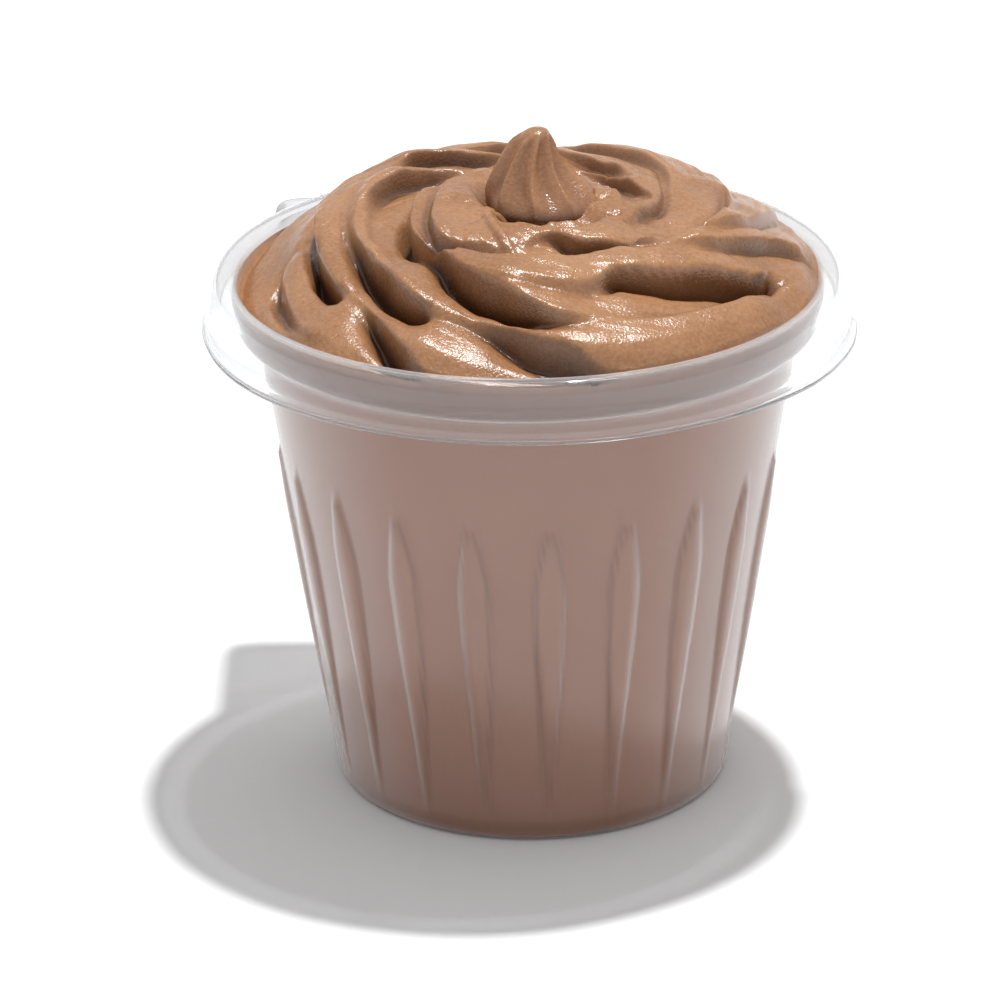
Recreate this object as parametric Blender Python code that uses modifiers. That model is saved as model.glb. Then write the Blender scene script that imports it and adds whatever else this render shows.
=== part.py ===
"""Chocolate mousse piped into a clear ribbed plastic cup.

The cup stands on z = 0 with its axis on the world Z axis and its front facing -Y. It is one
thermoformed sheet: a flat base, a tapered wall with lens-shaped ribs, a ledge, a rolled rim,
a skirt that hangs from the rim, and a trimmed flange that widens into a hinge tab at the back.
The mousse is one solid that fills the cup, rises above the rim in a piped swirl and ends in
a pulled-up peak.
"""
import math

import bmesh
import bpy
import numpy as np

# Driving dimensions in millimetres and degrees
MM = 0.001
SEGMENTS = 80
SHEET = 0.6
FOOD_GAP = 0.3

BASE_RADIUS = 31.5
BASE_FILLET = 1.6
WALL_TAPER = 0.1418
WALL_FLARE = 0.55
WALL_TOP = 76.5
LEDGE_TOP = 79.0
LEDGE_RADIUS = 46.3
RIM_TOP = 85.7
RIM_CREST_RADIUS = 48.3
RIM_RADIUS = 50.0
RIM_RADIUS_HEIGHT = 83.7
SKIRT_RADIUS = 51.0
SKIRT_BOTTOM = 78.8
LIP_RADIUS = 51.5
FLANGE_HEIGHT = 76.6
FLANGE_RADIUS = 52.0

FLARE_ANGLE = -28.0
FLARE_HALF_WIDTH = 34.0
FLARE_REACH = 1.8
FLARE_END_ANGLE = -2.0
BACK_FLANGE_RADIUS = 51.6

TAB_LEFT = 42.0
TAB_RIGHT = 35.5
TAB_BACK = 58.0

RIB_COUNT = 20
RIB_FIRST_ANGLE = -85.5
RIB_DEPTH = 0.7
RIB_TOP = 57.0
RIB_WIDEST = 47.0
RIB_BOTTOM = 6.0

PEAK_HEIGHT = 109.3
PEAK_CENTRE_X = 1.9
RIDGE_COUNT = 7
RIDGE_DEPTH = 2.4
RIDGE_SWEEP = 118.0
RIDGE_START_ANGLE = -128.0


def remove_old_objects():
    """Empty the scene of every object it holds."""
    for old in list(bpy.data.objects):
        bpy.data.objects.remove(old, do_unlink=True)


def make_material(name, colour, roughness, metallic=0.0, transmission=0.0):
    """Return a Principled material."""
    material = bpy.data.materials.new(name)
    material.use_nodes = True
    shader = material.node_tree.nodes["Principled BSDF"]
    shader.inputs["Base Color"].default_value = (*colour, 1.0)
    shader.inputs["Roughness"].default_value = roughness
    shader.inputs["Metallic"].default_value = metallic
    shader.inputs["Transmission Weight"].default_value = transmission
    return material


def smooth_step(value, low, high):
    """Return 0 below low and 1 above high, with a smooth rise between."""
    share = np.clip((value - low) / (high - low), 0.0, 1.0)
    return share * share * (3.0 - 2.0 * share)


def wall_radius(height):
    """Return the wall's outer radius, which opens a little faster near the top."""
    flare = WALL_FLARE * smooth_step(height, 0.4 * WALL_TOP, WALL_TOP)
    return BASE_RADIUS + WALL_TAPER * height + flare


def cup_profile():
    """Return the sheet's middle line from the base's centre to the flange's edge."""
    half = SHEET / 2
    points = [
        (0.0, half),
        (BASE_RADIUS - BASE_FILLET, half),
        (BASE_RADIUS - 0.35 * BASE_FILLET, half + 0.25 * BASE_FILLET),
    ]
    wall_heights = (BASE_FILLET, RIB_BOTTOM + 2, 24.0, 42.0, RIB_WIDEST, RIB_TOP, 66.0, WALL_TOP)
    points += [(wall_radius(height) - half, height) for height in wall_heights]
    points += [
        (LEDGE_RADIUS - half, LEDGE_TOP),
        (LEDGE_RADIUS, RIM_TOP - 1.7),
        (RIM_CREST_RADIUS - 0.8, RIM_TOP - half - 0.1),
        (RIM_CREST_RADIUS + 0.5, RIM_TOP - half - 0.1),
        (RIM_RADIUS - half, RIM_RADIUS_HEIGHT),
        (SKIRT_RADIUS - half, SKIRT_BOTTOM),
        (LIP_RADIUS - half, SKIRT_BOTTOM - 0.6),
        (LIP_RADIUS - half + 0.1, FLANGE_HEIGHT + half),
        (FLANGE_RADIUS, FLANGE_HEIGHT),
    ]
    return points


def turn_profile(name, points):
    """Turn a profile in the XZ plane about Z and return the mesh as an object's data."""
    outline = bpy.data.meshes.new(name + "_profile")
    vertices = [(radius * MM, 0.0, height * MM) for radius, height in points]
    outline.from_pydata(vertices, [(i, i + 1) for i in range(len(points) - 1)], [])
    turned = bpy.data.objects.new(name + "_turned", outline)
    bpy.context.scene.collection.objects.link(turned)
    screw = turned.modifiers.new("Turn", "SCREW")
    screw.steps = SEGMENTS
    screw.render_steps = SEGMENTS
    screw.use_merge_vertices = True
    screw.merge_threshold = 0.00005
    screw.use_normal_calculate = True
    depsgraph = bpy.context.evaluated_depsgraph_get()
    mesh = bpy.data.meshes.new_from_object(turned.evaluated_get(depsgraph))
    mesh.name = name
    bpy.data.objects.remove(turned, do_unlink=True)
    bpy.data.meshes.remove(outline)
    return mesh


def edit_points(mesh, change):
    """Move every vertex by change(x, y, z), which works on arrays in millimetres."""
    flat = np.empty(len(mesh.vertices) * 3)
    mesh.vertices.foreach_get("co", flat)
    x, y, z = flat.reshape(-1, 3).T / MM
    moved = np.stack(change(x, y, z), axis=1) * MM
    mesh.vertices.foreach_set("co", moved.ravel())
    mesh.update()


def face_outward(mesh):
    """Point every face's normal out of the closed mesh."""
    shape = bmesh.new()
    shape.from_mesh(mesh)
    bmesh.ops.recalc_face_normals(shape, faces=shape.faces)
    shape.to_mesh(mesh)
    shape.free()


def rib_height(angle, height):
    """Return how far a rib pushes the wall out: a lens that is pointed above and fades below."""
    spacing = 360.0 / RIB_COUNT
    offset = (angle - RIB_FIRST_ANGLE + spacing / 2) % spacing - spacing / 2
    half_width = spacing / SEGMENTS * RIB_COUNT
    across = np.clip(1.0 - np.abs(offset) / half_width, 0.0, 1.0)
    above = 1.0 - smooth_step(height, RIB_WIDEST, RIB_TOP)
    below = np.clip((height - RIB_BOTTOM) / (RIB_WIDEST - RIB_BOTTOM), 0.0, 1.0) ** 0.7
    return RIB_DEPTH * across * above * below


def flange_edge(angle):
    """Return the trimmed edge's radius: round in front, flared right, straight at the hinge."""
    turn = np.radians(angle)
    away = np.abs(angle - FLARE_ANGLE) / FLARE_HALF_WIDTH
    flare = FLARE_REACH * np.clip(1.0 - away ** 2, 0.0, 1.0)
    front = np.where(angle < FLARE_END_ANGLE, FLANGE_RADIUS + flare, BACK_FLANGE_RADIUS)
    sine = np.maximum(np.sin(turn), 0.001)
    cosine = np.cos(turn)
    side = np.where(cosine < 0, TAB_LEFT, TAB_RIGHT) / np.maximum(np.abs(cosine), 0.001)
    tab = np.where(angle > 0, np.minimum(TAB_BACK / sine, side), 0.0)
    return np.maximum(front, tab)


def shape_cup(x, y, z):
    """Raise the ribs on the wall and trim the flange to its outline."""
    radius = np.hypot(x, y)
    angle = np.degrees(np.arctan2(y, x))
    on_wall = (z > BASE_FILLET / 2) & (z < WALL_TOP)
    on_edge = (np.abs(z - FLANGE_HEIGHT) < 0.01) & (radius > LIP_RADIUS)
    target = radius + np.where(on_wall, rib_height(angle, z), 0.0)
    target = np.where(on_edge, flange_edge(angle), target)
    scale = target / np.maximum(radius, 0.001)
    return x * scale, y * scale, z


def make_cup(collection):
    """Build the cup as one solid sheet."""
    mesh = turn_profile("cup", cup_profile())
    edit_points(mesh, shape_cup)
    cup = bpy.data.objects.new("cup", mesh)
    collection.objects.link(cup)
    sheet = cup.modifiers.new("Sheet", "SOLIDIFY")
    sheet.thickness = SHEET * MM
    sheet.offset = 0.0
    sheet.use_even_offset = True
    mesh.materials.append(make_material("clear_plastic", (0.93, 0.94, 0.95), 0.06, transmission=0.9))
    mesh.shade_smooth()
    mesh.set_sharp_from_angle(angle=math.radians(45))
    return cup


def swirl_height(radius):
    """Return the heap's mean height: a dome round the groove that the peak stands in."""
    radii = (0.0, 1.5, 4.0, 6.5, 8.5, 10.2, 12.5, 18.0, 24.0, 30.0, 36.0, 42.0, 46.0)
    heights = (PEAK_HEIGHT, 107.6, 104.6, 101.0, 97.6, 94.6, 94.4, 95.6, 94.9, 93.0, 90.2, 87.0, 84.6)
    return np.interp(radius, radii, heights)


def swirl_ridge(radius, angle):
    """Return the star tip's ridges, which spiral outward counterclockwise."""
    sweep = RIDGE_SWEEP * (radius / RIM_RADIUS) ** 1.3
    phase = RIDGE_COUNT * (angle - RIDGE_START_ANGLE - sweep) / 360.0
    share = phase % 1.0
    crest = np.where(share < 0.62, share / 0.62, (1.0 - share) / 0.38)
    strength = smooth_step(radius, 6.0, 16.0) * (1.0 - 0.75 * smooth_step(radius, 40.0, 46.0))
    return RIDGE_DEPTH * strength * (crest - 0.5)


def mousse_profile():
    """Return the mousse's outline from the peak, over the heap and down the wall to the base."""
    inset = SHEET + FOOD_GAP
    rings = (1.5, 4.0, 6.5, 8.5, 10.2, 12.5, 15.5, 18.5, 21.5, 24.5, 27.5, 30.5, 33.5, 36.5, 39.5, 42.5)
    points = [(0.0, PEAK_HEIGHT)]
    points += [(radius, float(swirl_height(radius))) for radius in rings]
    points.append((LEDGE_RADIUS - inset, RIM_TOP - 1.6))
    points.append((LEDGE_RADIUS - inset - 0.2, LEDGE_TOP + inset))
    points += [(wall_radius(height) - inset, height) for height in (WALL_TOP, 56.0, 30.0, 2.4)]
    points.append((BASE_RADIUS - inset - BASE_FILLET, inset))
    points.append((0.0, inset))
    return points


def shape_mousse(x, y, z):
    """Press the star tip's ridges into the heap and lean the peak a little to the right."""
    radius = np.hypot(x, y)
    angle = np.degrees(np.arctan2(y, x))
    on_top = z > RIM_TOP - 1.0
    lifted = z + np.where(on_top, swirl_ridge(radius, angle), 0.0)
    lean = PEAK_CENTRE_X * smooth_step(z, PEAK_HEIGHT - 14.0, PEAK_HEIGHT)
    return x + np.where(radius < 11.0, lean, 0.0), y, lifted


def make_mousse(collection):
    """Build the mousse as one solid that stays just clear of the cup's inner face."""
    mesh = turn_profile("mousse", mousse_profile())
    edit_points(mesh, shape_mousse)
    face_outward(mesh)
    mousse = bpy.data.objects.new("mousse", mesh)
    collection.objects.link(mousse)
    mesh.materials.append(make_material("chocolate_mousse", (0.33, 0.17, 0.095), 0.5))
    mesh.shade_smooth()
    return mousse


def main():
    remove_old_objects()
    collection = bpy.data.collections.new("chocolate_mousse_cup")
    bpy.context.scene.collection.children.link(collection)
    make_cup(collection)
    make_mousse(collection)


main()
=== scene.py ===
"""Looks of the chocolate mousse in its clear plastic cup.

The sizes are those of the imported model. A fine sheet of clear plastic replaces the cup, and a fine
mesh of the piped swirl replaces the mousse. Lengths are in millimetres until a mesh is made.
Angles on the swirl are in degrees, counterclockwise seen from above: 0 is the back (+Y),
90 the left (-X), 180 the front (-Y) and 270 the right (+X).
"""
import math

import bpy
import numpy as np
from mathutils import Matrix, Vector, noise


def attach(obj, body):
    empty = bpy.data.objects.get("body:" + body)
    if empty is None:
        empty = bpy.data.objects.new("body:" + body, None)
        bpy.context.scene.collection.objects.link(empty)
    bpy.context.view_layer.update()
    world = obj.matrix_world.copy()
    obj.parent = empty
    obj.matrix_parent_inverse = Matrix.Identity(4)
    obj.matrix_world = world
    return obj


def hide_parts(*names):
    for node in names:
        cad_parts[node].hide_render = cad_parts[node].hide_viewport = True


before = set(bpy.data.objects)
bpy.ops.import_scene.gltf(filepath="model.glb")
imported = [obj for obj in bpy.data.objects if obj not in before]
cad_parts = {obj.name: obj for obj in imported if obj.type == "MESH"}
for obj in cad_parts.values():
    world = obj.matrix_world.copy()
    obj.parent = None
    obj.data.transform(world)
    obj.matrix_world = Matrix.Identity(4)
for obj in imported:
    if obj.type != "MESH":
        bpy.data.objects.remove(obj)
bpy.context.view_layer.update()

MM = 0.001

# Cup, in millimetres
SHEET = 0.55
BASE_RADIUS = 31.5
WALL_TAPER = 0.1418
WALL_FLARE = 0.55
WALL_TOP = 76.5
FLANGE_HEIGHT = 76.7
FLANGE_RADIUS = 51.8
CUP_SEGMENTS = 560

# Ribs on the wall
RIB_COUNT = 20
RIB_FIRST_ANGLE = 184.5
RIB_DEPTH = 0.9
RIB_HALF_WIDTH = 2.6
RIB_TOP = 57.5
RIB_WIDEST = 46.0
RIB_BOTTOM = 5.0

# Swirl
DOME_TOP = 98.3
DOME_DROP = 11.3
SAG_ANGLE = 88.0
SAG_SPREAD = 36.0
SAG_DEPTH = 4.6
MOUSSE_SEGMENTS = 480
HEAP_RINGS = 146
PEAK_RINGS = 32
PEAK_BASE = 6.6
PEAK_TOP = 109.3
HOLLOW_FLOOR = 94.2
CONTACT_RADIUS = 46.2


def smooth_step(value, low, high):
    """Return 0 below low and 1 above high, with a smooth rise between."""
    share = np.clip((value - low) / (high - low), 0.0, 1.0)
    return share * share * (3.0 - 2.0 * share)


def spline(x, keys_x, keys_y):
    """Return a smooth curve through the keys, level outside them."""
    keys_x = np.asarray(keys_x, float)
    keys_y = np.asarray(keys_y, float)
    slopes = np.gradient(keys_y, keys_x)
    i = np.clip(np.searchsorted(keys_x, x) - 1, 0, len(keys_x) - 2)
    step = keys_x[i + 1] - keys_x[i]
    u = np.clip((x - keys_x[i]) / step, 0.0, 1.0)
    start = (1 + 2 * u) * (1 - u) ** 2 * keys_y[i] + u * (1 - u) ** 2 * step * slopes[i]
    end = u * u * (3 - 2 * u) * keys_y[i + 1] - u * u * (1 - u) * step * slopes[i + 1]
    return start + end


def near_turn(angle, middle):
    """Return the angle turned by whole circles to within half a circle of the middle."""
    return middle + (angle - middle + 180.0) % 360.0 - 180.0


def wobble(points, scale, seed):
    """Return smooth noise from about -1 to 1 at points in millimetres."""
    shift = Vector((seed * 17.3, seed * 5.1, seed * 9.7))
    return np.array([noise.noise(Vector(p) / scale + shift) for p in points])


def on_circle(radius, angle, height):
    """Return points from radius, swirl angle and height."""
    turn = np.radians(angle)
    return np.stack([-radius * np.sin(turn), radius * np.cos(turn), height], axis=-1)


def ring_mesh(name, rings, caps):
    """Return an object made of rings of points in millimetres, the first ring innermost or on top.

    caps holds the points that close the first and the last ring, or None.
    """
    count = rings.shape[1]
    points = [rings.reshape(-1, 3)]
    faces = []
    step = np.arange(count)
    following = (step + 1) % count
    for row in range(len(rings) - 1):
        low = row * count
        high = low + count
        faces.append(np.stack([low + step, high + step, high + following, low + following], axis=1))
    quads = np.concatenate(faces).tolist()
    total = len(rings) * count
    first, last = caps
    if first is not None:
        points.append(np.array([first]))
        quads += [(total, int(a), int(b)) for a, b in zip(step, following)]
        total += 1
    if last is not None:
        points.append(np.array([last]))
        end = (len(rings) - 1) * count
        quads += [(total, int(end + b), int(end + a)) for a, b in zip(step, following)]
    mesh = bpy.data.meshes.new(name)
    mesh.from_pydata((np.concatenate(points) * MM).tolist(), [], quads)
    mesh.shade_smooth()
    thing = bpy.data.objects.new(name, mesh)
    bpy.context.scene.collection.objects.link(thing)
    return thing


# ---------------------------------------------------------------- cup

def wall_radius(height):
    """Return the wall's outer radius without ribs."""
    flare = WALL_FLARE * smooth_step(height, 0.4 * WALL_TOP, WALL_TOP)
    return BASE_RADIUS + WALL_TAPER * height + flare


def rib_height(angle, height):
    """Return how far a rib pushes the wall out: a lens, pointed above, that fades below."""
    spacing = 360.0 / RIB_COUNT
    offset = (angle - RIB_FIRST_ANGLE + spacing / 2) % spacing - spacing / 2
    across = np.radians(offset) * wall_radius(height) / RIB_HALF_WIDTH
    narrow = np.where(
        height > RIB_WIDEST,
        np.sqrt(np.clip((RIB_TOP - height) / (RIB_TOP - RIB_WIDEST), 0.0, 1.0)),
        0.30 + 0.70 * smooth_step(height, RIB_BOTTOM, RIB_WIDEST),
    )
    share = np.clip(1.0 - (np.abs(across) / np.maximum(narrow, 0.02)) ** 3.0, 0.0, 1.0)
    below = smooth_step(height, RIB_BOTTOM - 4.0, RIB_WIDEST - 8.0) ** 0.7
    above = np.where(height < RIB_TOP - 0.3, 1.0 - 0.4 * smooth_step(height, RIB_WIDEST, RIB_TOP), 0.0)
    return RIB_DEPTH * share * below * above


def cup_line():
    """Return the sheet's middle line from the base's centre to the start of the flange."""
    half = SHEET / 2
    line = [(0.4, 1.5), (10.0, 1.5), (20.0, 1.5), (25.5, 1.45), (27.2, 1.1), (28.3, 0.5)]
    line += [(29.2, half), (30.0, half), (30.7, half + 0.12), (31.2, half + 0.5), (31.45, half + 1.2)]
    wall = np.linspace(2.6, WALL_TOP, 44)
    line += [(wall_radius(z) - half, z) for z in wall]
    line += [(44.1, 77.3), (44.9, 77.75), (45.6, 78.05), (46.0, 78.6), (46.1, 79.6), (46.15, 82.0)]
    line += [(46.2, 83.6), (46.45, 84.5), (47.0, 85.15), (47.7, 85.42), (48.4, 85.42)]
    line += [(49.1, 85.1), (49.55, 84.4), (49.72, 83.6), (49.9, 82.4), (50.25, 80.6)]
    line += [(50.6, 79.2), (50.85, 78.75), (51.15, 78.45), (51.22, 77.9), (51.22, 77.3), (51.3, 76.9)]
    return np.array(line)


def flange_edge(angle):
    """Return the trimmed edge's radius: wavy in front, flared right, a straight tab at the back."""
    front = near_turn(angle, 180.0)
    keys = (60, 90, 102, 119, 134, 147, 164, 182, 193, 208, 224, 237, 245, 256, 267, 269, 300)
    radii = (51.6, 51.9, 51.7, 51.9, 51.7, 51.8, 51.7, 51.9, 52.0, 51.8, 52.2, 52.7, 52.75, 52.7, 52.3, 51.6, 51.6)
    edge = np.interp(front, keys, radii)
    turn = np.radians(angle)
    back = np.maximum(np.cos(turn), 0.02)
    side = np.maximum(np.abs(np.sin(turn)), 0.02)
    left = np.sin(turn) > 0
    reach = np.where(left, 42.0, 35.5) / side
    depth = 57.95 / back
    power = 24.0
    tab = (reach ** -power + depth ** -power) ** (-1.0 / power)
    return np.maximum(edge, np.where(np.cos(turn) > 0, tab, 0.0))


def make_cup():
    """Build the cup as one sheet of even thickness."""
    line = cup_line()
    angle = np.arange(CUP_SEGMENTS) * 360.0 / CUP_SEGMENTS
    rings = []
    for radius, height in line:
        radii = np.full(CUP_SEGMENTS, radius)
        if 2.0 < height < WALL_TOP - 0.5:
            radii = radii + rib_height(angle, height)
        rings.append(on_circle(radii, angle, np.full(CUP_SEGMENTS, height)))
    start = line[-1][0]
    for share in (0.12, 0.3, 0.55, 0.8, 1.0):
        radii = start + (flange_edge(angle) - start) * share
        level = FLANGE_HEIGHT + 0.0 * angle
        rings.append(on_circle(radii, angle, level))
    rings = np.array(rings)
    cup = ring_mesh("clear_cup", rings, (None, None))
    mesh = cup.data
    mesh.flip_normals()
    out = np.hypot(rings[..., 0], rings[..., 1]).ravel()
    rim = smooth_step(out, 46.05, 47.2)
    mesh.attributes.new("rim", "FLOAT", "POINT").data.foreach_set("value", rim)
    sheet = cup.modifiers.new("Sheet", "SOLIDIFY")
    sheet.thickness = SHEET * MM
    sheet.offset = 0.0
    sheet.use_even_offset = True
    return cup


# ---------------------------------------------------------------- mousse

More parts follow.
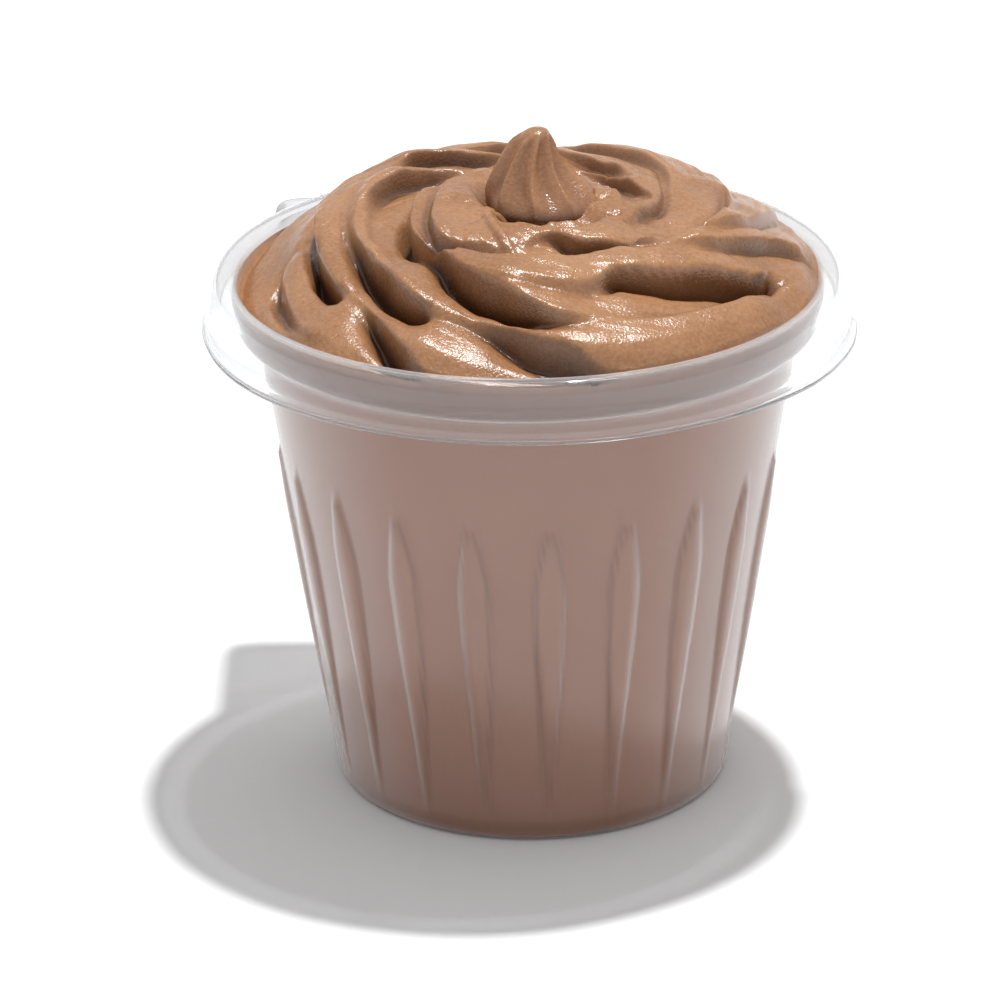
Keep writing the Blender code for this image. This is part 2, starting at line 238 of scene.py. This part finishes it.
# Each ridge of the swirl runs along a crest line and drops on one side. Its keys are the angle,
# the crest's radius, the drop, and the run of the drop. Then: whether it drops inward, how soft
# its edges are, how far the drop cuts in under the crest, and how deep the slot at its foot is.
RIDGES = {
    "inner_fold": ((
        (42, 9.7, 0.5, 1.5), (58, 11.4, 0.8, 1.2), (75, 12.4, 1.0, 1.0), (100, 13.8, 1.5, 0.8),
        (119, 16.6, 2.0, 0.8), (134, 20.2, 2.4, 0.8), (145, 23.0, 2.6, 0.8), (153, 22.8, 2.2, 1.2),
        (163, 21.9, 1.6, 1.6), (171, 22.3, 1.0, 1.5),
    ), False, 0.20, 0.6, 0.5),
    "inner_coil": ((
        (21, 15.5, 1.0, 1.0), (33, 16.2, 1.5, 1.0), (49, 16.0, 2.0, 1.0), (70, 16.2, 3.0, 0.8),
        (86, 16.8, 5.6, 0.5), (100, 18.1, 6.4, 0.5), (112, 19.7, 6.0, 0.5), (124, 21.7, 4.0, 0.6), (135, 23.6, 2.0, 0.6),
        (141, 24.0, 0.6, 0.6),
    ), False, 0.10, 1.2, 0.6),
    "middle_edge": ((
        (146, 24.6, 1.0, 1.0), (156, 25.3, 1.8, 1.0), (164, 25.7, 2.2, 1.0), (177, 26.5, 2.2, 1.0),
        (191, 26.0, 2.6, 1.0), (206, 25.5, 2.6, 1.0), (222, 26.3, 2.2, 0.8), (238, 28.1, 2.3, 0.9),
        (250, 28.9, 2.4, 1.0), (260, 30.1, 2.4, 1.0), (272, 32.0, 2.0, 1.2), (290, 34.5, 1.0, 1.5),
    ), True, 0.20, 0.4, 0.3),
    "ledge": ((
        (179, 20.8, 0.6, 0.6), (186, 18.9, 1.2, 0.5), (191, 18.5, 1.8, 0.5), (196, 19.5, 2.6, 0.5),
        (202, 21.7, 2.8, 0.5), (210, 22.9, 2.6, 0.5), (217, 24.1, 2.0, 0.5), (222, 26.1, 1.4, 0.6),
        (236, 25.9, 0.6, 0.8),
    ), False, 0.20, 1.2, 0.4),
    "hollow": ((
        (155, 11.9, 3.0, 1.5), (164, 14.9, 4.0, 1.2), (176, 15.0, 4.2, 1.2), (191, 16.9, 4.5, 1.2),
        (204, 18.7, 4.5, 1.2), (212, 18.3, 4.0, 1.2), (228, 16.5, 2.5, 1.2), (238, 18.0, 0.8, 1.2),
    ), True, 0.40, 0.6, 0.0),
    "right_fold": ((
        (166, 30.2, 0.5, 2.0), (175, 32.1, 0.8, 1.8), (183, 32.1, 1.2, 1.6), (193, 32.4, 1.4, 1.4),
        (200, 31.4, 1.6, 0.8), (206, 30.2, 3.0, 0.5), (214, 30.9, 4.4, 0.4), (225, 33.1, 4.6, 0.4),
        (237, 35.6, 5.0, 0.4), (242, 37.6, 5.0, 0.4), (246, 40.1, 4.0, 0.4),
    ), False, 0.09, 1.5, 0.6),
    "front_fold": ((
        (131, 22.8, 1.6, 1.3), (148, 25.2, 3.4, 1.1), (160, 29.6, 4.8, 0.9), (167, 31.7, 5.8, 0.7),
        (173, 33.4, 5.8, 0.5), (178, 35.7, 4.4, 0.5), (183, 37.6, 2.8, 0.5), (187, 38.7, 2.0, 0.5),
        (192, 38.7, 1.2, 0.5), (197, 38.5, 0.4, 0.5),
    ), False, 0.09, 1.6, 0.6),
    "left_fold": ((
        (46, 26.6, 0.5, 2.0), (58, 26.8, 0.8, 2.0), (72, 26.5, 1.0, 2.0), (89, 26.8, 1.2, 2.0),
        (100, 27.4, 1.6, 1.6), (112, 28.5, 2.6, 1.2), (124, 30.0, 4.0, 1.0), (134, 31.2, 5.2, 0.8),
        (145, 34.2, 5.6, 0.7), (152, 36.0, 4.4, 0.7), (157, 36.3, 1.2, 0.8), (161, 36.0, 0.2, 1.0),
    ), False, 0.10, 1.3, 0.6),
    "front_lower": ((
        (156, 36.6, 0.3, 1.0), (161, 36.2, 0.8, 1.0), (166, 36.0, 1.4, 1.2), (171, 36.7, 2.6, 1.0),
        (175, 37.6, 3.8, 1.0), (179, 39.2, 4.8, 1.0), (183, 41.0, 5.2, 1.0), (187, 42.3, 5.2, 1.1),
        (190, 43.5, 4.4, 1.1), (194, 45.2, 3.0, 1.2), (201, 46.3, 1.0, 1.0),
    ), False, 0.12, 0.4, 0.1),
    "rib_line": ((
        (53, 21.9, 0.2, 1.0), (61, 23.1, 0.5, 1.0), (69, 24.2, 0.7, 1.0), (91, 25.0, 0.8, 1.0),
        (104, 26.1, 0.8, 1.0), (118, 27.5, 0.8, 1.0), (129, 28.8, 0.6, 1.0), (143, 32.3, 0.3, 1.0),
    ), True, 0.30, 0.0, 0.0),
    "rim_inner": ((
        (99, 34.3, 1.0, 0.8), (107, 35.9, 2.4, 0.8), (114, 37.1, 2.2, 0.8), (121, 37.5, 0.8, 0.8),
    ), True, 0.30, 0.0, 0.0),
    "ribbon_outside": ((
        (134, 9.6, 0.2, 0.5), (148, 12.6, 0.6, 0.5), (162, 17.9, 0.7, 0.5), (170, 21.9, 0.7, 0.5),
        (177, 26.0, 0.3, 0.5),
    ), False, 0.12, 0.0, 0.0),
    "ribbon_inside": ((
        (136, 9.0, 0.2, 0.5), (150, 11.6, 0.6, 0.5), (164, 17.2, 0.7, 0.5), (172, 21.3, 0.7, 0.5),
        (178, 25.0, 0.3, 0.5),
    ), True, 0.12, 0.0, 0.0),
    "outer_fold": ((
        (8, 28.5, 0.5, 1.5), (28, 30.6, 1.2, 1.5), (48, 32.8, 2.2, 1.1), (73, 34.1, 3.0, 0.8),
        (93, 33.6, 3.6, 0.6), (104, 34.0, 4.4, 0.6), (114, 34.6, 4.6, 0.6), (124, 35.6, 3.0, 0.6),
        (130, 35.6, 0.4, 0.8), (135, 35.8, 0.8, 0.8), (141, 37.5, 3.0, 0.7), (148, 40.3, 4.4, 0.7),
        (154, 43.3, 4.6, 0.7), (158, 45.4, 3.6, 0.8), (162, 46.6, 1.5, 0.8),
    ), False, 0.10, 1.3, 0.5),
    "rim_fold": ((
        (88, 35.2, 1.0, 0.8), (98, 38.8, 3.0, 0.6), (109, 40.1, 2.8, 0.6), (118, 41.5, 2.2, 0.6),
        (129, 44.0, 0.5, 0.6),
    ), False, 0.18, 0.7, 0.5),
    "right_step": ((
        (236, 28.8, 0.8, 1.2), (241, 30.9, 1.8, 1.1), (255, 34.6, 2.8, 1.0), (267, 40.0, 2.6, 1.0),
        (270, 42.8, 1.4, 1.2),
    ), False, 0.12, 0.0, 0.0),
    "right_facet": ((
        (252, 28.5, 0.8, 1.0), (262, 32.3, 1.8, 0.9), (280, 37.7, 2.0, 0.9), (303, 47.5, 1.2, 1.0),
    ), False, 0.14, 0.0, 0.0),
    "front_coil": ((
        (196, 39.1, 0.4, 1.2), (206, 39.6, 0.9, 1.2), (215, 40.2, 1.6, 1.2), (221, 40.4, 2.2, 1.2),
        (227, 40.8, 3.0, 1.0), (235, 41.1, 3.6, 1.0), (246, 41.4, 2.4, 1.0), (254, 44.4, 0.8, 1.0),
    ), True, 0.40, 0.4, 0.0),
    "front_crease": ((
        (187, 42.6, 0.4, 0.8), (194, 44.2, 0.8, 0.8), (202, 45.2, 0.8, 0.8), (211, 45.5, 0.5, 1.0),
    ), False, 0.20, 0.0, 0.0),
    "left_inner": ((
        (30, 21.5, 0.8, 1.5), (42, 23.6, 3.0, 1.5), (54, 24.0, 3.6, 1.5), (64, 25.0, 3.2, 1.5),
        (75, 25.7, 2.2, 1.5), (88, 26.0, 0.8, 1.5),
    ), True, 0.20, 0.2, 0.0),
    "back_inner": ((
        (8, 21.5, 1.2, 1.2), (17, 24.3, 2.8, 1.2), (24, 27.2, 3.2, 1.2), (31, 29.2, 3.4, 1.2),
        (38, 29.4, 3.0, 1.2), (47, 28.6, 1.2, 1.2),
    ), True, 0.20, 0.3, 0.0),
    "back_far": ((
        (2, 26.5, 2.0, 1.5), (10, 29.5, 2.4, 1.5), (18, 32.0, 1.8, 1.5), (26, 34.0, 0.5, 1.5),
    ), True, 0.20, 0.2, 0.0),
    "back_groove": ((
        (308, 20.8, 0.8, 0.8), (320, 22.2, 2.2, 0.8), (332, 23.0, 2.4, 0.8), (342, 25.0, 1.6, 0.8),
        (352, 28.0, 0.8, 0.8),
    ), True, 0.20, 0.4, 0.2),
    "curtain": ((
        (276, 20.0, 1.0, 0.6), (290, 18.8, 2.2, 0.6), (304, 19.0, 2.6, 0.6), (318, 20.0, 2.2, 0.6),
        (332, 20.6, 1.0, 0.6),
    ), True, 0.12, 0.3, 0.0),
    "far_right": ((
        (285, 24.0, 0.5, 1.5), (305, 27.5, 1.6, 1.2), (325, 31.0, 2.2, 1.2), (345, 35.0, 2.0, 1.2),
        (362, 40.0, 1.0, 1.2),
    ), True, 0.30, 0.3, 0.2),
    "back_right": ((
        (272, 31.0, 0.8, 1.5), (300, 36.0, 2.0, 1.2), (322, 41.0, 2.4, 1.0), (340, 46.0, 1.5, 1.0),
    ), False, 0.40, 0.8, 0.3),
    "back_middle": ((
        (310, 35.0, 0.5, 1.5), (330, 37.5, 1.8, 1.2), (352, 40.5, 2.4, 1.0), (375, 44.0, 2.0, 1.0),
        (388, 46.5, 1.0, 1.0),
    ), False, 0.30, 0.8, 0.3),
    "back_left": ((
        (-10, 34.0, 0.8, 1.5), (10, 36.5, 2.0, 1.2), (30, 39.5, 2.2, 1.0), (50, 43.0, 2.0, 1.0),
        (62, 46.0, 1.0, 1.0),
    ), False, 0.30, 0.8, 0.3),
    "upper_fold": ((
        (262, 15.0, 1.0, 0.6), (278, 13.6, 2.4, 0.6), (298, 13.0, 2.6, 0.6), (320, 14.0, 2.0, 0.6),
        (342, 17.0, 0.8, 0.8),
    ), False, 0.20, 0.5, 0.2),
    "small_fold": ((
        (236, 19.3, 0.8, 0.6), (250, 18.9, 2.0, 0.6), (265, 20.3, 2.2, 0.6), (280, 21.5, 1.6, 0.6),
        (300, 23.0, 0.8, 0.6),
    ), False, 0.25, 0.3, 0.2),
}

LIFT = 0.55
SHOULDER = 0.28
SHOULDER_REACH = 1.7
REACH_INSIDE = 6.0
REACH_OUTSIDE = 7.0


def base_height(radius, angle):
    """Return the heap's height without its ridges: a dome that sags at the left edge."""
    dome = DOME_TOP - DOME_DROP * (np.clip(radius, 0.0, 47.5) / 46.0) ** 3.0
    left = np.exp(-((near_turn(angle, SAG_ANGLE) - SAG_ANGLE) / SAG_SPREAD) ** 2)
    return dome - SAG_DEPTH * left * smooth_step(radius, 33.0, 42.0)


def ridge_lines(angle, keys):
    """Return a ridge's crest radius, drop, run and slant at every angle."""
    key_angles, key_radii, key_drops, key_runs = zip(*keys)
    turned = near_turn(angle, (key_angles[0] + key_angles[-1]) / 2)
    crest = spline(turned, key_angles, key_radii)
    ahead = spline(turned + 1.0, key_angles, key_radii)
    slant = np.cos(np.arctan(np.degrees(ahead - crest) / crest))
    shown = smooth_step(turned, key_angles[0] - 8.0, key_angles[0])
    shown = shown * (1.0 - smooth_step(turned, key_angles[-1], key_angles[-1] + 8.0))
    drop = np.interp(turned, key_angles, key_drops) * shown
    return crest, drop, np.interp(turned, key_angles, key_runs), slant


def ridge_height(radius, angle, ridge):
    """Return a ridge's share of the heap: its height, how far its drop cuts in, and its painted shade down the
    drop and in the slot at its foot.
    """
    keys, inward, softness, undercut, slot_depth = ridge
    crest, drop, run, slant = ridge_lines(angle, keys)
    away = (radius - crest) * slant
    if inward:
        away = -away
    total = 0.0
    for step, weight in ((-1.4, 0.12), (-0.7, 0.23), (0.0, 0.30), (0.7, 0.23), (1.4, 0.12)):
        at = away + step * softness
        low = np.minimum(at, 0.0)
        inside = LIFT * np.exp(low / REACH_INSIDE) - SHOULDER * np.exp(low / SHOULDER_REACH)
        falling = LIFT - SHOULDER - smooth_step(at, 0.0, run)
        outside = (LIFT - SHOULDER - 1.0) * np.exp(-np.maximum(at - run, 0.0) / REACH_OUTSIDE)
        total = total + weight * np.where(at < 0.0, inside, np.where(at < run, falling, outside))
    steep = (1.0 - smooth_step(run, 1.0, 2.4)) * smooth_step(drop, 0.4, 4.0)
    steep = steep * (1.0 - smooth_step(radius, 42.5, 45.5))
    slot = np.exp(-(np.abs(away - run - 0.7) / 0.85) ** 2.6)
    rise = drop * total - slot_depth * steep * drop * slot
    cut = smooth_step(away, -0.1, run + 0.3) * (1.0 - smooth_step(away, run + 0.4, run + 2.6))
    # Painted shade: darkest from the crest down the drop and into the slot at its foot, where shade falls in the
    # groove; weaker for small or gentle drops.
    painted_shade = smooth_step(away, -0.02, 0.22 * run) * (1.0 - smooth_step(away, run + 0.6, run + 1.5))
    painted_shade = painted_shade * (0.55 + 0.45 * smooth_step(away, 0.2 * run, run))
    painted_shade = painted_shade * smooth_step(drop, 0.2, 3.5) * (1.0 - 0.5 * smooth_step(run, 1.2, 2.4))
    return rise, undercut * steep * cut * (1 if inward else -1), painted_shade


def streaks(radius, angle):
    """Return fine lines along the swirl, in millimetres."""
    across = (radius - 0.2 * angle) / 72.0 * 2.0 * math.pi
    along = np.radians(angle)
    lines = 0.0
    for count, share, turns in ((29, 1.0, 3), (41, 0.9, 5), (53, 0.8, 2), (67, 0.55, 7), (17, 1.1, 4)):
        lines = lines + share * np.sin(count * across + 2.1 * count + 1.7 * np.sin(turns * along + count))
    return 0.034 * lines


def swell(radius, angle):
    """Return broad unevenness, in millimetres."""
    along = np.radians(angle)
    across = radius / 46.0 * 2.0 * math.pi
    broad = np.sin(5 * along + 2.2 * across + 0.6) + np.sin(9 * along - 3.1 * across + 2.0)
    broad = broad + 0.7 * np.sin(14 * along + 4.6 * across + 4.1) + 0.5 * np.sin(23 * along - 6.3 * across)
    return 0.11 * broad


def heap_surface(radius, angle):
    """Return the heap's height, how far its points are moved outward, and its painted shade in the grooves."""
    height = base_height(radius, angle) + streaks(radius, angle) + swell(radius, angle)
    shift = np.zeros_like(radius)
    painted_shade = np.zeros_like(radius)
    for ridge in RIDGES.values():
        rise, cut, painted_shade_values = ridge_height(radius, angle, ridge)
        height = height + rise
        shift = shift + cut
        painted_shade = np.maximum(painted_shade, painted_shade_values)
    return height, shift, painted_shade


def heap_rings(angle):
    """Return ring radii at every angle, drawn together where a ridge drops."""
    fine = np.linspace(PEAK_BASE, CONTACT_RADIUS, 700)
    radius, turn = np.meshgrid(fine, angle, indexing="ij")
    density = np.ones_like(radius)
    for keys, inward, softness, undercut, slot_depth in RIDGES.values():
        crest, drop, run, slant = ridge_lines(turn, keys)
        side = -1.0 if inward else 1.0
        middle = crest + side * (run / 2 + 0.6)
        density += 1.1 * np.minimum(drop, 3.0) * np.exp(-((radius - middle) / (1.3 + run / 2)) ** 2)
    share = np.cumsum(density, axis=0)
    share = (share - share[0]) / (share[-1] - share[0])
    wanted = np.linspace(0.0, 1.0, HEAP_RINGS)
    return np.stack([np.interp(wanted, share[:, i], fine) for i in range(len(angle))], axis=1)


def peak_rings(angle):
    """Return the rings of the pulled-up peak, from its tip to the ring in the hollow, and its painted shade in the
    flutes and under its bulge.
    """
    below_keys = (0.0, 0.3, 0.8, 2.6, 5.8, 8.4, 10.6, 12.2, 13.6, 14.8, 15.8)
    radius_keys = (0.0, 1.15, 1.95, 3.1, 4.6, 6.0, 7.6, 8.5, 8.2, 6.9, 5.2)
    shift_keys = (0.0, -0.05, -0.24, -1.0, -1.4, -0.9, 0.0, 0.5, 0.6, 0.6, 0.5)
    steps = np.arange(len(below_keys))
    rings = []
    painted_shades = []
    for share in np.linspace(0.03, 1.0, PEAK_RINGS):
        at = np.array([share * (len(below_keys) - 1)])
        below = spline(at, steps, below_keys)
        radius = spline(at, steps, radius_keys)
        twist = np.radians(angle + 2.2 * below + 4.0)
        flute = np.abs(np.sin(twist * 4.5 + 0.4 * np.sin(twist))) ** 0.9
        depth = 0.36 * smooth_step(below, 0.4, 2.5) * (1.0 - 0.8 * smooth_step(below, 8.5, 12.5))
        right = np.exp(-((near_turn(angle, 272.0) - 272.0) / 45.0) ** 2)
        wide = radius * (1.0 + depth * (0.55 - flute)) + 1.0 * right * smooth_step(below, 6.0, 11.0)
        ring = on_circle(wide, angle, np.full(len(angle), PEAK_TOP) - below)
        ring[:, 0] += 1.9 + spline(at, steps, shift_keys)
        ring[:, 1] -= 1.4 * smooth_step(below, 2.0, 12.0)
        rings.append(ring)
        # Painted shade in the valleys between the flutes, and under the bulge where the peak overhangs the hollow,
        # less on its right.
        painted_flute_shade = 0.26 * smooth_step(flute, 0.45, 1.0) * smooth_step(below, 0.5, 2.5)
        painted_shades.append(np.maximum(painted_flute_shade, smooth_step(below, 9.6, 13.0) * (1.0 - 0.6 * right)))
    return rings, painted_shades


def make_mousse():
    """Build the mousse: the peak, the swirl and the side that reaches just into the cup's wall."""
    angle = np.arange(MOUSSE_SEGMENTS) * 360.0 / MOUSSE_SEGMENTS
    rings, painted_shades = peak_rings(angle)
    radius = heap_rings(angle)
    turn = np.broadcast_to(angle, radius.shape)
    height, shift, painted_shade = heap_surface(radius, turn)
    floor = 1.0 - smooth_step(radius, PEAK_BASE, PEAK_BASE + 3.8)
    height = height * (1.0 - floor) + np.minimum(height, HOLLOW_FLOOR) * floor
    height = height - 1.2 * smooth_step(radius, 43.5, CONTACT_RADIUS)
    heap = on_circle(radius + shift, turn, height)
    off_centre = (1.0 - smooth_step(radius, PEAK_BASE, PEAK_BASE + 6.0))[..., None]
    heap = heap + off_centre * np.array([2.1, -1.0, 0.0])
    rings += list(heap)
    # Painted shade in the hollow round the peak's foot.
    painted_shades += list(np.maximum(painted_shade, 0.8 * floor))
    edge_height = np.clip(height[-1], 84.0, 86.0)
    rings[-1] = on_circle(np.full(len(angle), CONTACT_RADIUS), angle, edge_height)
    into = SHEET * 0.6
    for inner, level in ((46.2, 83.4), (46.1, 80.0), (46.0, 78.8), (45.3, 78.1), (44.2, 77.5)):
        rings.append(on_circle(np.full(len(angle), inner - 0.05), angle, np.full(len(angle), level)))
    side_levels = (76.0, 72.0, 66.0, 60.0, 57.5, 56.0, 54.0, 51.0, 48.0, 44.0, 39.0, 33.0, 26.0, 18.0, 10.0, 4.0)
    for level in side_levels:
        inner = wall_radius(level) - into + rib_height(angle, level)
        rings.append(on_circle(inner, angle, np.full(len(angle), level)))
    for inner, level in ((31.0, 0.8), (29.6, 0.45), (27.5, 1.1), (25.5, 1.6)):
        rings.append(on_circle(np.full(len(angle), inner), angle, np.full(len(angle), level)))
    mousse = ring_mesh("chocolate_mousse", np.array(rings), ((1.9, 0.0, PEAK_TOP), (0.0, 0.0, 1.6)))
    painted_shade_values = np.zeros(len(mousse.data.vertices))
    # Painted shade under the rim's ledge on the next five rings, then along the edges of the ribs on the side.
    painted_shades += [np.full(len(angle), share) for share in (0.0, 0.15, 0.45, 0.45, 0.2)]
    for level in side_levels:
        push = rib_height(angle, level) / RIB_DEPTH
        painted_shades.append(0.22 * smooth_step(push, 0.02, 0.3) * (1.0 - smooth_step(push, 0.45, 0.8)))
    painted_shade_values[:len(painted_shades) * len(angle)] = np.array(painted_shades).ravel()
    mousse.data.attributes.new("painted_shade", "FLOAT", "POINT").data.foreach_set("value", painted_shade_values)
    # 0.88 on the side against the wall: the paler, smoother look of mousse pressed on the plastic. 0.1 on the
    #                                    upper peak: painted light that brightens its dim front. 0 on the swirl.
    pressed_and_painted_light = np.full(len(painted_shade_values), 0.88)
    pressed_and_painted_light[:(PEAK_RINGS + HEAP_RINGS) * len(angle)] = 0.0
    pressed_and_painted_light[:(PEAK_RINGS - 8) * len(angle)] = 0.1
    mousse.data.attributes.new("pressed_and_painted_light", "FLOAT", "POINT").data.foreach_set("value", pressed_and_painted_light)
    return mousse


# ---------------------------------------------------------------- materials

def new_material(name):
    """Return a material with its nodes, links and Principled shader."""
    material = bpy.data.materials.new(name)
    material.use_nodes = True
    nodes = material.node_tree.nodes
    return material, nodes, material.node_tree.links, nodes["Principled BSDF"]


def noise_texture(nodes, links, place, scale, detail):
    """Return a noise texture node on the object's own coordinates."""
    texture = nodes.new("ShaderNodeTexNoise")
    texture.inputs["Scale"].default_value = scale
    texture.inputs["Detail"].default_value = detail
    links.new(place.outputs["Object"], texture.inputs["Vector"])
    return texture


def mousse_material():
    """Aerated mousse: a moist sheen, fine grain, mottled tone, painted shade in its grooves and hollows, paler
    where pressed on the wall, painted light on the peak.
    """
    material, nodes, links, shader = new_material("mousse_surface")
    place = nodes.new("ShaderNodeTexCoord")
    tone = noise_texture(nodes, links, place, 70.0, 5.0)
    speck = noise_texture(nodes, links, place, 1500.0, 4.0)
    blend = nodes.new("ShaderNodeMixRGB")
    blend.inputs["Fac"].default_value = 0.45
    links.new(tone.outputs["Fac"], blend.inputs["Color1"])
    links.new(speck.outputs["Fac"], blend.inputs["Color2"])
    ramp = nodes.new("ShaderNodeValToRGB")
    ramp.color_ramp.elements[0].position = 0.34
    ramp.color_ramp.elements[0].color = (0.335, 0.147, 0.058, 1)
    ramp.color_ramp.elements[1].position = 0.62
    ramp.color_ramp.elements[1].color = (0.512, 0.258, 0.123, 1)
    links.new(blend.outputs["Color"], ramp.inputs["Fac"])
    # Painted shade: a near-black brown mixed in by the attribute in grooves, flutes, the hollow, under the rim's
    # ledge and at the ribs' edges.
    painted_shade = nodes.new("ShaderNodeAttribute")
    painted_shade.attribute_name = "painted_shade"
    painted_shade_mix = nodes.new("ShaderNodeMixRGB")
    painted_shade_mix.inputs["Color2"].default_value = (0.080, 0.029, 0.010, 1)
    links.new(painted_shade.outputs["Fac"], painted_shade_mix.inputs["Fac"])
    # Paler colour where the mousse is pressed on the wall, and painted light that brightens the peak.
    pressed_and_painted_light = nodes.new("ShaderNodeAttribute")
    pressed_and_painted_light.attribute_name = "pressed_and_painted_light"
    pale_and_painted_light_mix = nodes.new("ShaderNodeMixRGB")
    pale_and_painted_light_mix.inputs["Color2"].default_value = (0.625, 0.340, 0.245, 1)
    links.new(pressed_and_painted_light.outputs["Fac"], pale_and_painted_light_mix.inputs["Fac"])
    links.new(ramp.outputs["Color"], pale_and_painted_light_mix.inputs["Color1"])
    links.new(pale_and_painted_light_mix.outputs["Color"], painted_shade_mix.inputs["Color1"])
    links.new(painted_shade_mix.outputs["Color"], shader.inputs["Base Color"])
    grain = noise_texture(nodes, links, place, 2300.0, 3.0)
    bump = nodes.new("ShaderNodeBump")
    free = nodes.new("ShaderNodeMath")
    free.operation = "MULTIPLY_ADD"
    free.inputs[1].default_value = -0.38
    free.inputs[2].default_value = 0.42
    links.new(pressed_and_painted_light.outputs["Fac"], free.inputs[0])
    links.new(free.outputs["Value"], bump.inputs["Strength"])
    bump.inputs["Distance"].default_value = 0.0003
    links.new(grain.outputs["Fac"], bump.inputs["Height"])
    links.new(bump.outputs["Normal"], shader.inputs["Normal"])
    shader.inputs["Roughness"].default_value = 0.22
    shader.inputs["Specular IOR Level"].default_value = 0.75
    return material


def plastic_material():
    """Clear plastic, hazier at the rim, with painted sheen at its grazing edges, that lets lamps through to the
    mousse.
    """
    material, nodes, links, shader = new_material("clear_plastic_sheet")
    shader.inputs["Base Color"].default_value = (0.975, 0.975, 0.985, 1)
    shader.inputs["IOR"].default_value = 1.5
    rim = nodes.new("ShaderNodeAttribute")
    rim.attribute_name = "rim"
    polish = nodes.new("ShaderNodeMath")
    polish.operation = "MULTIPLY_ADD"
    polish.inputs[1].default_value = -0.17
    polish.inputs[2].default_value = 0.21
    links.new(rim.outputs["Fac"], polish.inputs[0])
    links.new(polish.outputs["Value"], shader.inputs["Roughness"])
    # Painted sheen: at grazing angles part of the sheet turns to pale diffuse white in place of clear plastic.
    edge = nodes.new("ShaderNodeLayerWeight")
    edge.inputs["Blend"].default_value = 0.25
    painted_edge_sheen = nodes.new("ShaderNodeMath")
    painted_edge_sheen.operation = "MULTIPLY_ADD"
    painted_edge_sheen.inputs[1].default_value = -0.85
    painted_edge_sheen.inputs[2].default_value = 1.12
    painted_edge_sheen.use_clamp = True
    links.new(edge.outputs["Facing"], painted_edge_sheen.inputs[0])
    clearness = nodes.new("ShaderNodeMath")
    clearness.operation = "MULTIPLY_ADD"
    clearness.inputs[1].default_value = -0.07
    links.new(rim.outputs["Fac"], clearness.inputs[0])
    links.new(painted_edge_sheen.outputs["Value"], clearness.inputs[2])
    links.new(clearness.outputs["Value"], shader.inputs["Transmission Weight"])
    clear = nodes.new("ShaderNodeBsdfTransparent")
    shade = nodes.new("ShaderNodeMixRGB")
    shade.inputs["Color1"].default_value = (0.90, 0.90, 0.91, 1)
    shade.inputs["Color2"].default_value = (0.10, 0.10, 0.10, 1)
    links.new(rim.outputs["Fac"], shade.inputs["Fac"])
    links.new(shade.outputs["Color"], clear.inputs["Color"])
    path = nodes.new("ShaderNodeLightPath")
    mix = nodes.new("ShaderNodeMixShader")
    links.new(path.outputs["Is Shadow Ray"], mix.inputs["Fac"])
    links.new(shader.outputs["BSDF"], mix.inputs[1])
    links.new(clear.outputs["BSDF"], mix.inputs[2])
    links.new(mix.outputs["Shader"], nodes["Material Output"].inputs["Surface"])
    return material


def floor_material():
    """Plain pale floor."""
    material, nodes, links, shader = new_material("pale_floor")
    shader.inputs["Base Color"].default_value = (0.955, 0.970, 0.978, 1)
    shader.inputs["Roughness"].default_value = 0.9
    shader.inputs["Specular IOR Level"].default_value = 0.0
    return material


# ---------------------------------------------------------------- stage

CAMERA_DISTANCE = 900.8
CAMERA_HEIGHT = 423.62
CAMERA_PITCH = 22.754
CAMERA_YAW = -0.3057
CAMERA_ROLL = -0.7573
CAMERA_LENS = 218.2


def make_camera():
    """Place the camera in front of the cup, looking down at it."""
    pitch = math.radians(CAMERA_PITCH)
    yaw = math.radians(CAMERA_YAW)
    roll = math.radians(CAMERA_ROLL)
    forward = Vector((math.sin(yaw) * math.cos(pitch), math.cos(yaw) * math.cos(pitch), -math.sin(pitch)))
    right = Vector((math.cos(yaw), -math.sin(yaw), 0.0))
    up = right.cross(forward)
    rolled_right = math.cos(roll) * right + math.sin(roll) * up
    rolled_up = math.cos(roll) * up - math.sin(roll) * right
    camera_data = bpy.data.cameras.new("camera")
    camera_data.lens = CAMERA_LENS
    camera_data.sensor_width = 36.0
    camera_data.clip_end = 100.0
    camera = bpy.data.objects.new("camera", camera_data)
    turn = Matrix((rolled_right, rolled_up, -forward)).transposed()
    camera.matrix_world = Matrix.Translation((0.0, -CAMERA_DISTANCE * MM, CAMERA_HEIGHT * MM)) @ turn.to_4x4()
    bpy.context.scene.collection.objects.link(camera)
    bpy.context.scene.camera = camera


def make_floor():
    """Lay a wide pale floor."""
    bpy.ops.mesh.primitive_plane_add(size=16.0, location=(0.0, 0.0, -0.00005))
    floor = bpy.context.active_object
    floor.name = "floor"
    floor.data.materials.append(floor_material())


def make_light():
    """Light the cup from high above with a small soft key and an even pale sky."""
    lamp = bpy.data.lights.new("key", "POINT")
    lamp.energy = 425.0
    lamp.shadow_soft_size = 0.10
    key = bpy.data.objects.new("key", lamp)
    key.location = Vector((0.125, 0.15, 1.0)).normalized() * 3.78
    bpy.context.scene.collection.objects.link(key)
    world = bpy.data.worlds.new("sky")
    bpy.context.scene.world = world
    world.use_nodes = True
    background = world.node_tree.nodes["Background"]
    background.inputs["Color"].default_value = (1, 1, 1, 1)
    background.inputs["Strength"].default_value = 0.50


def main():
    make_camera()
    make_floor()
    make_light()
    bpy.context.scene.view_settings.view_transform = "Standard"
    cup = make_cup()
    cup.data.materials.append(plastic_material())
    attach(cup, "root")
    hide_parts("cup")
    mousse = make_mousse()
    mousse.data.materials.append(mousse_material())
    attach(mousse, "root")
    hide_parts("mousse")


main()
